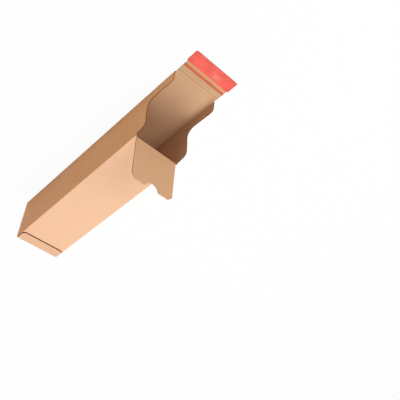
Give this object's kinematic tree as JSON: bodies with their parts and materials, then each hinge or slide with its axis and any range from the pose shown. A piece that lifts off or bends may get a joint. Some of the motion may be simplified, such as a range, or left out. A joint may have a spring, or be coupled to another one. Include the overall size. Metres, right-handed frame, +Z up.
{
  "type": "square cardboard mailing tube",
  "caption": "Square mailing tube of corrugated board with a hinged lid, a closing tongue with a release liner and tear tape, and a thumb-notched inner flap",
  "frame": {"origin": "bottom centre of the whole object with its lid and tongue laid open on the floor", "axes": "+X along the tube towards the open end, +Y towards the side wall nearer the viewer, +Z up from the bottom panel"},
  "size_m": [0.5978, 0.1098, 0.2118],
  "materials": {
    "kraft_board": "matt brown kraft corrugated board",
    "release_liner": "satin red siliconised film",
    "tear_tape": "satin red tape",
    "adhesive": "tacky cream hot-melt adhesive"
  },
  "bodies": {
    "tube": {"tube": "kraft_board"},
    "lid": {"lid": "kraft_board"},
    "inner_flap": {"inner_flap": "kraft_board"},
    "tongue": {"tongue": "kraft_board", "tear_tape": "tear_tape", "adhesive_strip": "adhesive", "release_liner": "release_liner"}
  },
  "joints": [
    {"name": "lid_hinge", "type": "hinge", "parent": "tube", "child": "lid", "pos_m": [0.1322, 0, 0.0008], "axis": [0, -1, 0], "range_deg": [0, 90]},
    {"name": "inner_flap_hinge", "type": "hinge", "parent": "tube", "child": "inner_flap", "pos_m": [0.1299, 0, 0.1072], "axis": [0, 1, 0], "range_deg": [0, 180]},
    {"name": "tongue_hinge", "type": "hinge", "parent": "lid", "child": "tongue", "pos_m": [0.2409, 0, 0.0008], "axis": [0, -1, 0], "range_deg": [0, 90]}
  ],
  "couplings": [
    {"joint": "tongue_hinge", "follows": "inner_flap_hinge", "ratio": 0.5}
  ]
}
